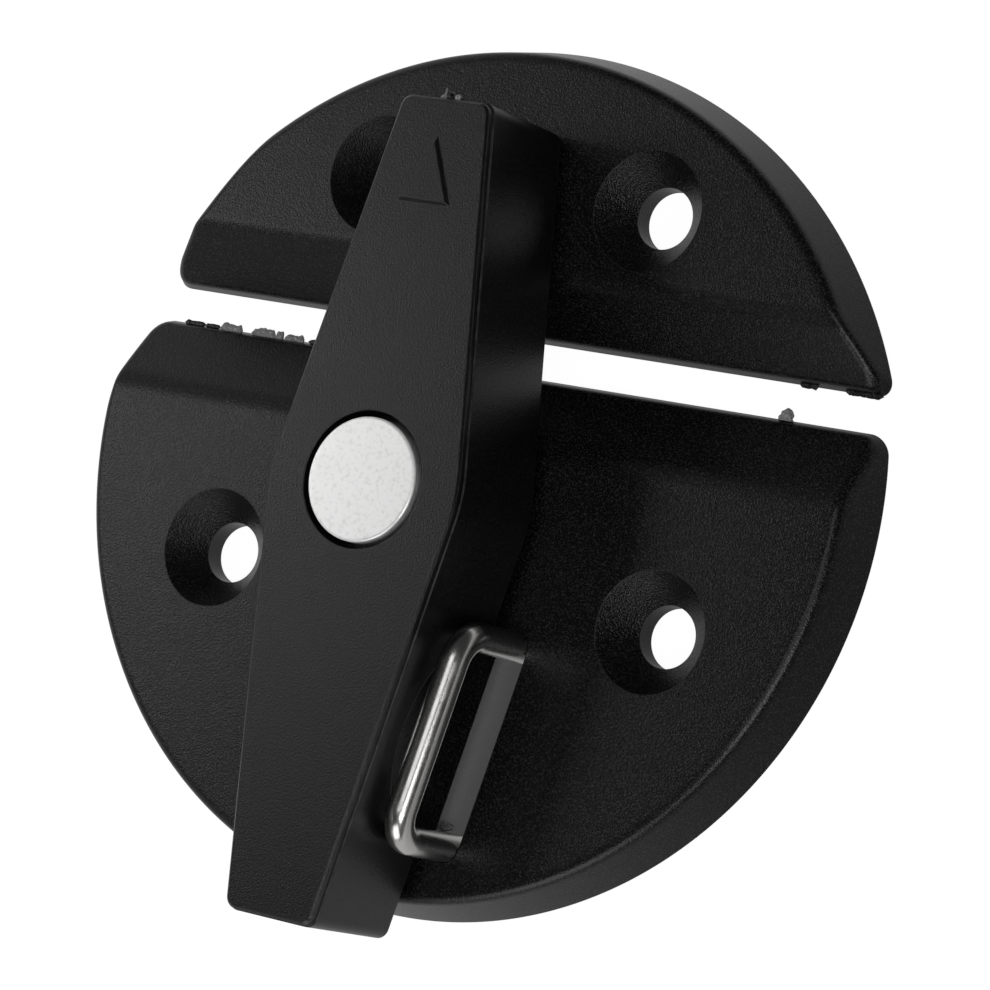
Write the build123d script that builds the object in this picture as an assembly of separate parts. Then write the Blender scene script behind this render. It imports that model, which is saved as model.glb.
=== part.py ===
from build123d import *
import math
import os

# A turn-button latch for a boat hatch: a round plate in two halves, a thick turning lever and a wire staple.
# The larger half, the latch base, is screwed to the deck and carries the lever on a steel pivot.
# The smaller half, the keeper, is screwed to the hatch, and the lever's arrow end lies over it when locked.
# Millimetres. The origin is midway between the base's two screws, on the mounting face.
# +Z points away from the deck, +Y from the base towards the keeper.

# Both plates
plate_height = 4.7        # mounting face to top face
rim_draft = 13.6          # lean of the outer rim, in degrees
plate_edge_bevel = 0.5    # small bevel on all the upper edges
crease_round = 2.5        # soft bend between the top face and the large bevel
tip_round = 1.6           # rounding of the plates' pointed ends, seen from above
skin = 2.0                # moulded wall over the hollow underside
rim_wall = 2.2            # moulded wall round the hollow underside
rib = 1.4                 # ribs in the hollow underside
plate_gap = 2.85          # between the two straight edges

# Latch base
base_radius = 36.0        # outer rim at the mounting face
base_depth = 43.9         # straight edge to the far side of the rim
base_edge_height = 1.0    # thin end of the bevel, at the straight edge
base_bevel = 5.7          # width of the bevel, seen from above
base_screw_spacing = 41.8
base_screws_to_edge = 18.2
pivot_to_screws = 6.8     # the pivot stands this much nearer the keeper than the screws

# Keeper plate
keeper_radius = 37.8
keeper_depth = 23.45
keeper_edge_height = 1.0
keeper_bevel = 4.8
keeper_screw_spacing = 25.4
keeper_screws_to_edge = 11.05

# Screw holes, for countersunk screws of 4.8 mm
screw_bore = 4.9
countersink_diameter = 9.64
countersink_angle = 80.0
screw_boss_wall = 1.5

# Turning lever
lever_thickness = 10.7
lever_end_half_width = 4.1
lever_waist_half_width = 9.0   # where the straight flanks would meet, beside the pivot
waist_round = 13.0
lever_up_length = 30.25        # pivot to the arrow end
lever_down_length = 34.3       # pivot to the other end
lever_corner_round = 1.0
cap_height = 0.75              # the top layer, moulded in the other half of the tool
cap_inset = 0.12
cap_edge_bevel = 0.2
lever_wall = 2.2
lever_skin = 2.6
lever_rib = 1.5
lever_cross_ribs = 2
arrow_base = 21.8              # pivot to the arrow's base line
arrow_length = 5.4
arrow_half_width = 2.5
arrow_height = 0.3
arrow_side_lean = 40.0         # degrees

# Arched way across the lower arm, for the padlock's shackle
arch_radius = 9.3
arch_below_pivot = 18.1        # pivot to the middle of the arch and of the staple
arch_crown = 3.2               # lever left above the arch
arch_wall = 1.6

# Pivot
shank_diameter = 6.0
running_clearance = 0.05       # radial, lever on shank and shank in base
head_diameter = 9.7
head_thickness = 2.1
head_sink = 0.1                # head below the lever's top
head_edge_bevel = 0.25
head_gap = 0.55                # radial, head to its recess in the lever
disc_spring_thickness = 0.4
boss_radius = 8.0              # bearing boss under the lever
boss_height = 0.6              # boss above the base's top face
thrust_washer_thickness = 0.5
thrust_washer_inset = 0.5      # washer's edge inside the boss's edge
rear_recess_depth = 2.0
rear_washer_diameter = 9.4
rear_washer_thickness = 0.8
rear_washer_gap = 0.3          # radial, washer to its recess
tail_diameter = 4.4            # the shank's thin end, through the rear washer
peened_diameter = 6.8
peened_height = 0.8
peened_bevel = 0.6

# Padlock staple
wire = 2.35
staple_height = 8.7            # top of the wire above the base's top face
staple_leg_spacing = 16.5      # between the legs' middles
staple_bend_radius = 2.3       # middle of the wire, at the upper corners
foot_bend_radius = 1.8         # middle of the wire, where the feet turn out
foot_reach = 3.0               # leg's middle to the foot's end
foot_lift = 0.15               # foot above the mounting face
staple_gap = 0.5               # lever's flank to the staple
slot_clearance = 0.06          # wire to its slot and groove, all round
staple_pad_wall = 2.0

# Spare length of the solids that only cut or trim another
past = 1.0                     # beyond a face
across = 40.0                  # wider than the lever

# Places that follow from the sizes above
base_centre_y = base_screws_to_edge - (base_depth - base_radius)
keeper_edge_y = base_screws_to_edge + plate_gap
keeper_centre_y = keeper_edge_y + keeper_depth - keeper_radius
keeper_screw_y = keeper_edge_y + keeper_screws_to_edge
pivot_y = pivot_to_screws
screw_radius = screw_bore / 2
boss_top = plate_height + boss_height
lever_bottom = boss_top + thrust_washer_thickness
lever_top = lever_bottom + lever_thickness
bore_radius = shank_diameter / 2 + running_clearance
head_top = lever_top - head_sink
head_underside = head_top - head_thickness
recess_floor = head_underside - disc_spring_thickness
recess_radius = head_diameter / 2 + head_gap
flank_taper = (lever_waist_half_width - lever_end_half_width) / lever_down_length
staple_turn = math.degrees(math.atan(flank_taper))
flank_at_staple = lever_waist_half_width - arch_below_pivot * flank_taper
staple_x = flank_at_staple + (staple_gap + wire / 2) / math.cos(math.radians(staple_turn))
staple_y = pivot_y - arch_below_pivot
foot_z = foot_lift + wire / 2
bar_z = plate_height + staple_height - wire / 2
at_staple = Pos(staple_x, staple_y, 0) * Rot(0, 0, -staple_turn)

os.makedirs("parts", exist_ok=True)


def upright(radius, low, high, x=0, y=0):
    """A round solid on a vertical axis."""
    return Pos(x, y, low) * Cylinder(radius, high - low, align=(Align.CENTER, Align.CENTER, Align.MIN))


def segment(radius, depth, corner_round, height):
    """Part of a round plate up to a straight edge at +Y, leaning in all round. Its centre is the origin."""
    edge = depth - radius
    half = math.sqrt(radius**2 - edge**2)
    rim = ThreePointArc((-half, edge), (0, -radius), (half, edge))
    outline = make_face([rim, Line((half, edge), (-half, edge))])
    outline = fillet(outline.vertices(), corner_round)
    return extrude(outline, amount=height, taper=rim_draft, dir=(0, 0, 1))


def side_prism(points, half_length):
    """A side outline in Y and Z, drawn out along X."""
    outline = Plane.YZ * make_face(Polyline(*points, close=True))
    return extrude(outline, amount=half_length, both=True)


def plate(radius, depth, edge_height, bevel):
    """A solid plate with its large bevel down to the straight edge, and its upper edges broken."""
    edge = depth - radius
    far = -radius - past
    side = [(far, 0), (edge + past, 0), (edge + past, edge_height), (edge, edge_height)]
    side += [(edge - bevel, plate_height), (far, plate_height)]
    body = segment(radius, depth, tip_round, plate_height) & side_prism(side, radius + past)
    crease = body.faces().sort_by(Axis.Z)[-1].edges().sort_by(Axis.Y)[-1]
    body = fillet(crease, crease_round)
    top = body.faces().sort_by(Axis.Z)[-1]
    rim = [e for e in top.edges() if e.geom_type != GeomType.LINE]
    return chamfer(rim, plate_edge_bevel)


def hollow(radius, depth, edge_height, bevel):
    """The moulded hollow under a plate, its ceiling one skin under the top face and the bevel."""
    edge = depth - radius
    slope = (plate_height - edge_height) / bevel
    ceiling = plate_height - skin
    bevel_skin = skin * math.hypot(1, slope)
    bend = edge - bevel - (bevel_skin - skin) / slope
    stop = edge - rim_wall - bevel_skin / 2
    stop_height = plate_height - bevel_skin - (stop - (edge - bevel)) * slope
    far = -radius
    side = [(far, 0), (stop, 0), (stop, stop_height), (bend, ceiling), (far, ceiling)]
    inside = Cone(
        radius - rim_wall,
        radius - rim_wall - ceiling * math.tan(math.radians(rim_draft)),
        ceiling,
        align=(Align.CENTER, Align.CENTER, Align.MIN),
    )
    return inside & side_prism(side, radius)


def countersunk_hole(x, y):
    """What one screw takes out of a plate."""
    sink_radius = countersink_diameter / 2
    sink_depth = (sink_radius - screw_radius) / math.tan(math.radians(countersink_angle / 2))
    cone = Cone(screw_radius, sink_radius, sink_depth, align=(Align.CENTER, Align.CENTER, Align.MAX))
    return upright(screw_radius, -past, plate_height, x, y) + Pos(x, y, plate_height) * cone


def screw_bosses(spacing, y):
    """The solid ground round a plate's two screws."""
    radius = countersink_diameter / 2 + screw_boss_wall
    return [upright(radius, 0, plate_height, side * spacing / 2, y) for side in (-1, 1)]


def rib_between(x1, y1, x2, y2):
    """A straight rib across the hollow, from one place to another."""
    length = math.hypot(x2 - x1, y2 - y1)
    turn = math.degrees(math.atan2(y2 - y1, x2 - x1))
    bar = Box(length, rib, plate_height, align=(Align.MIN, Align.CENTER, Align.MIN))
    return Pos(x1, y1, 0) * Rot(0, 0, turn) * bar


def padlock_staple():
    """The bent wire: up one leg, along the top and down the other, with its feet turned out."""
    half = staple_leg_spacing / 2
    points = [(0, -half - foot_reach, foot_z), (0, -half, foot_z), (0, -half, bar_z)]
    points += [(0, half, bar_z), (0, half, foot_z), (0, half + foot_reach, foot_z)]
    bends = [foot_bend_radius, staple_bend_radius, staple_bend_radius, foot_bend_radius]
    path = FilletPolyline(*points, radius=bends)
    section = Plane(origin=path @ 0, z_dir=path % 0) * Circle(wire / 2)
    return at_staple * sweep(section, path=path)


def staple_slot():
    """What the staple takes out of the base: a slot through it, with room below for the bends and feet."""
    width = wire + 2 * slot_clearance
    through = extrude(SlotOverall(staple_leg_spacing + width, width, rotation=90), plate_height + 2 * past)
    leg = staple_leg_spacing / 2
    end = leg + foot_reach + slot_clearance
    bend = leg + foot_bend_radius
    foot_top = foot_z + width / 2
    bend_top = foot_z + foot_bend_radius + slot_clearance
    side = [(end, -past), (end, foot_top), (bend, foot_top), (bend, bend_top)]
    side += [(-y, z) for y, z in reversed(side)]
    return [at_staple * Pos(0, 0, -past) * through, at_staple * side_prism(side, width / 2)]


def latch_base():
    """The larger plate, with the bearing boss, the staple's slot and two screw holes."""
    sizes = (base_radius, base_depth, base_edge_height, base_bevel)
    place = Pos(0, base_centre_y, 0)
    ground = screw_bosses(base_screw_spacing, 0)
    ground.append(upright(boss_radius, 0, plate_height, 0, pivot_y))
    pad_width = wire + 2 * staple_pad_wall
    pad_length = staple_leg_spacing + 2 * (foot_reach + staple_pad_wall)
    ground.append(at_staple * Pos(0, 0, plate_height / 2) * Box(pad_width, pad_length, plate_height))
    half = base_screw_spacing / 2
    for side in (-1, 1):
        ground.append(rib_between(side * half, 0, 0, pivot_y))
        ground.append(rib_between(side * half, 0, side * base_radius, 0))
        ground.append(rib_between(side * half / 2, pivot_y, side * half / 2, base_screws_to_edge))
    ground.append(rib_between(-half / 2, -base_radius, -half / 2, 0))
    body = place * plate(*sizes) - (place * hollow(*sizes) - ground)
    body += upright(boss_radius, plate_height - skin, boss_top, 0, pivot_y)
    for side in (-1, 1):
        body -= countersunk_hole(side * half, 0)
    body -= upright(bore_radius, -past, boss_top + past, 0, pivot_y)
    body -= upright(rear_washer_diameter / 2 + rear_washer_gap, -past, rear_recess_depth, 0, pivot_y)
    for space in staple_slot():
        body -= space
    return body


def keeper_plate():
    """The smaller plate, which the lever's arrow end holds down."""
    sizes = (keeper_radius, keeper_depth, keeper_edge_height, keeper_bevel)
    place = Pos(0, keeper_centre_y, 0) * Rot(0, 0, 180)
    ground = screw_bosses(keeper_screw_spacing, keeper_screw_y)
    half = keeper_screw_spacing / 2
    ground.append(rib_between(-keeper_radius, keeper_screw_y, keeper_radius, keeper_screw_y))
    ground += [rib_between(x, keeper_edge_y, x, keeper_edge_y + keeper_depth) for x in (-half, 0, half)]
    body = place * plate(*sizes) - (place * hollow(*sizes) - ground)
    for side in (-1, 1):
        body -= countersunk_hole(side * half, keeper_screw_y)
    return body


def lever_outline(inset=0.0):
    """The lever's six-sided outline, seen from above, with its rounded waist and ends."""
    up = lever_up_length - inset
    down = -lever_down_length + inset
    end = lever_end_half_width - inset
    waist = lever_waist_half_width - inset
    points = [(-end, down), (end, down), (waist, 0), (end, up), (-end, up), (-waist, 0)]
    face = make_face(Polyline(*points, close=True))
    waists = face.vertices().group_by(Axis.Y)[1]
    face = fillet(waists, waist_round)
    ends = [v for v in face.vertices() if abs(v.X) <= end]
    return fillet(ends, lever_corner_round)


def lever_hollow():
    """The moulded hollow under the arrow arm, between its ribs, and the one in the other end."""
    depth = lever_thickness - lever_skin
    slab = extrude(lever_outline(lever_wall), amount=depth)
    start = boss_radius + lever_wall / 2
    length = lever_up_length - lever_wall - start
    arm = Pos(0, start, 0) * Box(across, length, depth, align=(Align.CENTER, Align.MIN, Align.MIN))
    arm -= Pos(0, start, 0) * Box(lever_rib, 2 * length + past, 2 * depth + past)
    step = length / (lever_cross_ribs + 1)
    for number in range(1, lever_cross_ribs + 1):
        arm -= Pos(0, start + number * step, 0) * Box(across, lever_rib, 2 * depth + past)
    tip_start = -arch_below_pivot - arch_radius - arch_wall
    tip = Pos(0, tip_start, 0) * Box(across, across, depth, align=(Align.CENTER, Align.MAX, Align.MIN))
    return (slab & arm) + (slab & tip)


def arrow():
    """The raised arrow mark, a plain triangle that points at the keeper."""
    points = [(-arrow_half_width, arrow_base), (arrow_half_width, arrow_base), (0, arrow_base + arrow_length)]
    face = make_face(Polyline(*points, close=True))
    return Pos(0, 0, lever_thickness) * extrude(face, amount=arrow_height, taper=arrow_side_lean)


def turn_lever():
    """The turning lever, arrow towards the keeper."""
    body = extrude(lever_outline(), amount=lever_thickness - cap_height)
    cap = extrude(lever_outline(cap_inset), amount=lever_thickness)
    cap = chamfer(cap.faces().sort_by(Axis.Z)[-1].edges(), cap_edge_bevel)
    body += cap
    arch_z = lever_thickness - arch_crown - arch_radius
    arch = Rot(0, 90, 0) * Cylinder(arch_radius, across)
    body -= Pos(0, -arch_below_pivot, arch_z) * arch
    body -= lever_hollow()
    body += arrow()
    body -= upright(bore_radius, -past, lever_thickness)
    body -= upright(recess_radius, recess_floor - lever_bottom, lever_thickness + past)
    return Pos(0, pivot_y, lever_bottom) * body


def ring(outer_radius, inner_radius, low, high):
    """A flat washer round the pivot."""
    disc = upright(outer_radius, low, high, 0, pivot_y)
    return disc - upright(inner_radius, low - past, high + past, 0, pivot_y)


def pivot_rivet():
    """The pivot: flat head, shank, thin end and the tail peened over the rear washer."""
    head = upright(head_diameter / 2, head_underside, head_top)
    head = chamfer(head.edges().group_by(Axis.Z)[-1], head_edge_bevel)
    shank = upright(shank_diameter / 2, rear_recess_depth, head_underside)
    tail_top = rear_recess_depth - rear_washer_thickness
    tail = upright(tail_diameter / 2, tail_top, rear_recess_depth)
    peened = upright(peened_diameter / 2, tail_top - peened_height, tail_top)
    peened = chamfer(peened.edges().group_by(Axis.Z)[0], peened_bevel)
    return Pos(0, pivot_y, 0) * (head + shank + tail + peened)


nodes = {
    "latch_base": latch_base(),
    "keeper_plate": keeper_plate(),
    "turn_lever": turn_lever(),
    "pivot_rivet": pivot_rivet(),
    "disc_spring": ring(head_diameter / 2, bore_radius, recess_floor, head_underside),
    "thrust_washer": ring(boss_radius - thrust_washer_inset, bore_radius, boss_top, lever_bottom),
    "rear_washer": ring(
        rear_washer_diameter / 2,
        tail_diameter / 2 + running_clearance,
        rear_recess_depth - rear_washer_thickness,
        rear_recess_depth,
    ),
    "padlock_staple": padlock_staple(),
}
for name, solid in nodes.items():
    solid.label = name
    export_step(solid, f"parts/{name}.step")
    print(name, "volume", round(solid.volume, 1), "mm3")
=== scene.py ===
# %% [markdown]
# # A turn-button latch for a boat hatch
# Two black moulded plates, a thick moulded lever on a steel pivot, and a bent steel wire that takes a
# padlock. The construction model already has every piece in its right place and size, so this script
# only dresses it: finishes for the mouldings and the steel, softer shapes where the light shows them
# up, the small faults that moulding leaves, and then the floor, the light and the camera. Sizes are
# in mm, and MM turns them into metres.

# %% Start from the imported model
import math

import bmesh
import bpy
import numpy as np
from mathutils import Matrix, Vector, noise


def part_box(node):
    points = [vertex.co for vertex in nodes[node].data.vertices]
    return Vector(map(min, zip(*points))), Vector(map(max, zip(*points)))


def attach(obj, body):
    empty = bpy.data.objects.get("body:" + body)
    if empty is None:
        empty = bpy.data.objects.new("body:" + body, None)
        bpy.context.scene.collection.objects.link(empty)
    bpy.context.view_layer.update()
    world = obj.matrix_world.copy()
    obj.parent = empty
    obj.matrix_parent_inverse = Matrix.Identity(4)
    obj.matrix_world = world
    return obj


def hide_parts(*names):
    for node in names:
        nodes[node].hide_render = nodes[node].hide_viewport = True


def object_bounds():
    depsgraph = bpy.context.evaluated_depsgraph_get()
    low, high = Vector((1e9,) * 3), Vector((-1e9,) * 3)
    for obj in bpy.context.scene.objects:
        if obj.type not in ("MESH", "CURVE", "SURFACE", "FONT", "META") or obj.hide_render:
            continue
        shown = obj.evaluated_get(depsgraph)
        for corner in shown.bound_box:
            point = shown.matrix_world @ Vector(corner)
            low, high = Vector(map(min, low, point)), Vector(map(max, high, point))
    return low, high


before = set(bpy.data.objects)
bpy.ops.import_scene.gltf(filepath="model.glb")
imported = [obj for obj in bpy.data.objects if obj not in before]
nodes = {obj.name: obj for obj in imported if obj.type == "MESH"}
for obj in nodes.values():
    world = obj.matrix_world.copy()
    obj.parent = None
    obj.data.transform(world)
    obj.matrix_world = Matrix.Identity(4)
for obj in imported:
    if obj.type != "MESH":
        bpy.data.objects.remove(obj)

MM = 0.001
cad_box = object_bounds()
scene = bpy.context.scene
print("nodes", sorted(nodes))
print("size in mm", [round((high - low) / MM, 2) for low, high in zip(*cad_box)])

# %% [markdown]
# ## Camera
# A product photograph of something this small is taken with a long lens from close by, so lines stay
# nearly parallel. The latch is seen from its right-hand side, well above it, and turned a little in
# the frame. The place and the angles are fixed numbers, because they were fitted to the photograph's
# outlines.

# %% Place the camera
camera_data = bpy.data.cameras.new("camera")
camera = bpy.data.objects.new("camera", camera_data)
scene.collection.objects.link(camera)
camera.location = (0.20129, -0.01284, 0.31127)
camera.rotation_euler = [math.radians(angle) for angle in (10.964, 31.149, 14.418)]
camera_data.sensor_width = 36.0
camera_data.lens = 169.4
camera_data.clip_start = 0.01
camera_data.clip_end = 20.0
scene.camera = camera
print("camera", round(camera.location.length, 3), "m from the latch")

# %% [markdown]
# ## Helpers for node trees
# Every finish below is a node tree. Four small helpers keep the trees readable: one adds a node and
# sets its values by socket name, one links a list of sockets, one starts a group with named sockets,
# and one starts a material.

# %% Small helpers for node trees
FLOAT = "NodeSocketFloat"
VECTOR = "NodeSocketVector"


def add_node(tree, kind, values=None, **settings):
    """A node in the tree, with its settings and its unlinked values."""
    node = tree.nodes.new(kind)
    for name, value in settings.items():
        setattr(node, name, value)
    for name, value in (values or {}).items():
        node.inputs[name].default_value = value
    return node


def link_all(tree, joins):
    """Link sockets. A join is a node and its output, then the node and the input that it feeds."""
    for source, output, target, socket in joins:
        tree.links.new(source.outputs[output], target.inputs[socket])


def new_group(name, inputs, outputs, kind="ShaderNodeTree"):
    """A node group with named sockets, and its two end nodes."""
    tree = bpy.data.node_groups.new(name, kind)
    for label, socket_type, value in inputs:
        socket = tree.interface.new_socket(label, in_out="INPUT", socket_type=socket_type)
        if value is not None:
            socket.default_value = value
    for label, socket_type in outputs:
        tree.interface.new_socket(label, in_out="OUTPUT", socket_type=socket_type)
    return tree, tree.nodes.new("NodeGroupInput"), tree.nodes.new("NodeGroupOutput")


def new_material(name):
    """A material with an empty Principled shader, ready to link."""
    material = bpy.data.materials.new(name)
    material.use_nodes = True
    tree = material.node_tree
    return material, tree, tree.nodes["Principled BSDF"]


# %% [markdown]
# ## Grain of a spark-eroded mould
# The cavity of the mould was cut by sparks, which leaves a fine, even, pitted skin on every moulding.
# It could be real geometry, but at a sixth of a millimetre a bump is enough. The group also picks out
# a sparse scatter of specks, which the plastics paint paler as painted glints where pits would catch
# the light, and a slow cloud, because real mouldings are never equally dull all over.

# %% Group: moulded grain
grain, g_in, g_out = new_group(
    "moulded_grain",
    [("Grain Size mm", FLOAT, 0.16), ("Glint Size mm", FLOAT, 0.15), ("Cloud Size mm", FLOAT, 9.0)],
    [("Height", FLOAT), ("Glint", FLOAT), ("Cloud", FLOAT)],
)
place = add_node(grain, "ShaderNodeTexCoord")
textures = {
    "Grain Size mm": ("Height", {"Detail": 1.5, "Roughness": 0.6}),
    "Glint Size mm": ("Glint", {"Detail": 1.0, "Roughness": 0.5}),
    "Cloud Size mm": ("Cloud", {"Detail": 3.0, "Roughness": 0.6}),
}
for size, (result, values) in textures.items():
    per_metre = add_node(grain, "ShaderNodeMath", {0: 1 / MM}, operation="DIVIDE")
    texture = add_node(grain, "ShaderNodeTexNoise", values)
    link_all(grain, [
        (g_in, size, per_metre, 1),
        (per_metre, 0, texture, "Scale"),
        (place, "Object", texture, "Vector"),
    ])
    found = texture.outputs["Fac"]
    if result == "Glint":
        rare = add_node(grain, "ShaderNodeMapRange", {"From Min": 0.5, "From Max": 0.75})
        grain.links.new(found, rare.inputs["Value"])
        found = rare.outputs["Result"]
    grain.links.new(found, g_out.inputs[result])
print("group", grain.name, len(grain.nodes), "nodes")

# %% [markdown]
# ## Worn edges with a painted highlight
# Handling rubs the corners of a moulding first, so they go paler and a little smoother. The paler
# colour is partly that wear and partly a painted highlight, the thin line of light on a rounded corner.
# A Bevel node gives the normal that a softly rounded corner would have. Where it turns away from the
# true normal there is an edge, and that turn is the mask. Noise breaks the mask up, so that the line
# comes and goes as wear does.

# %% Group: worn edges with a painted highlight
edges, e_in, e_out = new_group(
    "worn_and_lit_edges",
    [("Radius mm", FLOAT, 0.15), ("Amount", FLOAT, 1.0), ("Patch Size mm", FLOAT, 1.5)],
    [("Wear And Edge Light", FLOAT), ("Normal", VECTOR)],
)
metres = add_node(edges, "ShaderNodeMath", {1: MM}, operation="MULTIPLY")
rounder = add_node(edges, "ShaderNodeBevel", samples=6)
geometry = add_node(edges, "ShaderNodeNewGeometry")
turned_by = add_node(edges, "ShaderNodeVectorMath", operation="DOT_PRODUCT")
edge_band = add_node(edges, "ShaderNodeMapRange", {"From Min": 0.995, "From Max": 0.9})
patch_scale = add_node(edges, "ShaderNodeMath", {0: 1 / MM}, operation="DIVIDE")
patches = add_node(edges, "ShaderNodeTexNoise", {"Detail": 4.0, "Roughness": 0.65})
patch_band = add_node(edges, "ShaderNodeMapRange", {"From Min": 0.38, "From Max": 0.62})
edge_place = add_node(edges, "ShaderNodeTexCoord")
broken = add_node(edges, "ShaderNodeMath", operation="MULTIPLY")
amount = add_node(edges, "ShaderNodeMath", operation="MULTIPLY", use_clamp=True)
link_all(edges, [
    (e_in, "Radius mm", metres, 0),
    (metres, 0, rounder, "Radius"),
    (rounder, "Normal", turned_by, 0),
    (geometry, "Normal", turned_by, 1),
    (turned_by, "Value", edge_band, "Value"),
    (e_in, "Patch Size mm", patch_scale, 1),
    (patch_scale, 0, patches, "Scale"),
    (edge_place, "Object", patches, "Vector"),
    (patches, "Fac", patch_band, "Value"),
    (edge_band, "Result", broken, 0),
    (patch_band, "Result", broken, 1),
    (broken, 0, amount, 0),
    (e_in, "Amount", amount, 1),
    (amount, 0, e_out, "Wear And Edge Light"),
    (rounder, "Normal", e_out, "Normal"),
])
print("group", edges.name, len(edges.nodes), "nodes")

# %% [markdown]
# ## Black moulded plastic
# Plates and lever are the same black plastic with two polishes: the lever is handled, so it shines a
# touch more and its corners are more worn, with more painted edge highlight. Both materials place the
# two groups with their own values. The colour goes from the body's black to a paler colour: on corners
# it is wear and a painted edge highlight, and on scattered specks it is painted glints. The grain
# reaches the shader through a Bump node, and it is deeper where a face carries the mark "coarse".

# %% A black plastic, with its values
def black_plastic(name, body, wear_and_glint_colour, dull, shine, grain_mm, grain_depth, edge_wear_and_light, glint_paint):
    """Moulded plastic: body colour, pale colour of wear and painted glints, roughness, mirror strength,
    grain in mm, edge wear with painted highlight, painted glints.
    """
    material, tree, shader = new_material(name)
    skin = add_node(tree, "ShaderNodeGroup", node_tree=grain)
    skin.inputs["Grain Size mm"].default_value = grain_mm
    # The edge mask paints corners paler: partly wear, partly a painted edge highlight.
    rub_and_edge_light = add_node(tree, "ShaderNodeGroup", node_tree=edges)
    rub_and_edge_light.inputs["Amount"].default_value = edge_wear_and_light
    # Painted glints: sparse specks painted paler, standing in for pits that catch the light.
    painted_glints = add_node(tree, "ShaderNodeMath", {1: glint_paint}, operation="MULTIPLY")
    wear_and_painted_light = add_node(tree, "ShaderNodeMath", operation="ADD", use_clamp=True)
    colour = add_node(tree, "ShaderNodeMix", data_type="RGBA")
    colour.inputs["A"].default_value = (*body, 1)
    colour.inputs["B"].default_value = (*wear_and_glint_colour, 1)
    dullness = add_node(tree, "ShaderNodeMapRange", {"To Min": dull - 0.04, "To Max": dull + 0.04})
    bump = add_node(tree, "ShaderNodeBump", {"Strength": 1.0, "Distance": grain_depth * MM})
    coarse = add_node(tree, "ShaderNodeAttribute", attribute_name="coarse")
    deeper = add_node(tree, "ShaderNodeMapRange", {"To Min": 1.0, "To Max": 3.0})
    deep = add_node(tree, "ShaderNodeMath", operation="MULTIPLY")
    link_all(tree, [
        (coarse, "Fac", deeper, "Value"),
        (deeper, "Result", deep, 1),
        (skin, "Height", deep, 0),
        (skin, "Glint", painted_glints, 0),
        (painted_glints, 0, wear_and_painted_light, 0),
        (rub_and_edge_light, "Wear And Edge Light", wear_and_painted_light, 1),
        (wear_and_painted_light, 0, colour, "Factor"),
        (colour, "Result", shader, "Base Color"),
        (skin, "Cloud", dullness, "Value"),
        (dullness, "Result", shader, "Roughness"),
        (deep, 0, bump, "Height"),
        (rub_and_edge_light, "Normal", bump, "Normal"),
        (bump, "Normal", shader, "Normal"),
    ])
    shader.inputs["Specular IOR Level"].default_value = shine
    print("plastic", name)
    return material


# The pale grey paints wear and a highlight on corners, and painted glints on specks.
BLACK, WEAR_AND_GLINT_GREY = (0.0012, 0.0012, 0.0013), (0.03, 0.03, 0.031)
plate_plastic = black_plastic(
    "plate_plastic", body=BLACK, wear_and_glint_colour=WEAR_AND_GLINT_GREY, dull=0.28, shine=0.36,
    grain_mm=0.15, grain_depth=0.03, edge_wear_and_light=0.5, glint_paint=0.5,
)
lever_plastic = black_plastic(
    "lever_plastic", body=BLACK, wear_and_glint_colour=WEAR_AND_GLINT_GREY, dull=0.31, shine=0.5,
    grain_mm=0.14, grain_depth=0.022, edge_wear_and_light=1.0, glint_paint=0.25,
)

# %% [markdown]
# Where the mould's halves met, a little plastic crept out. It is so thin that light comes through it,
# so it looks grey. A paler colour stands in for that, because real translucency in so small a fin
# would only add noise.

# %% Thin flash
flash_plastic = black_plastic(
    "flash_plastic", body=(0.10, 0.10, 0.10), wear_and_glint_colour=(0.26, 0.26, 0.26), dull=0.5, shine=0.5,
    grain_mm=0.15, grain_depth=0.02, edge_wear_and_light=0.2, glint_paint=1.0,
)

# %% [markdown]
# The staple's slot was made by a polished steel pin in the mould, so its walls are smoother than the
# rest. Their paler grey is painted light, standing in for the floor's light that the walls reflect.

# %% Smooth walls of the slot, with painted pale light
# The pale greys here are a painted reflection of the floor's light; the walls are black plastic.
slot_painted_reflection = black_plastic(
    "slot_painted_reflection", body=(0.08, 0.08, 0.08), wear_and_glint_colour=(0.13, 0.13, 0.13), dull=0.2, shine=1.0,
    grain_mm=0.2, grain_depth=0.003, edge_wear_and_light=0.0, glint_paint=0.4,
)

# %% [markdown]
# ## Steel
# The pivot's head was tumbled smooth and carries faint marks in all directions, so it is satin and
# very even. Bare metal alone would mirror the dim room. The tumbled skin also scatters light as paper
# does, so the finish is a blend of metal and a plain pale surface. Its roughness varies a little from
# place to place, while the colour of the steel hardly changes.

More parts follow.
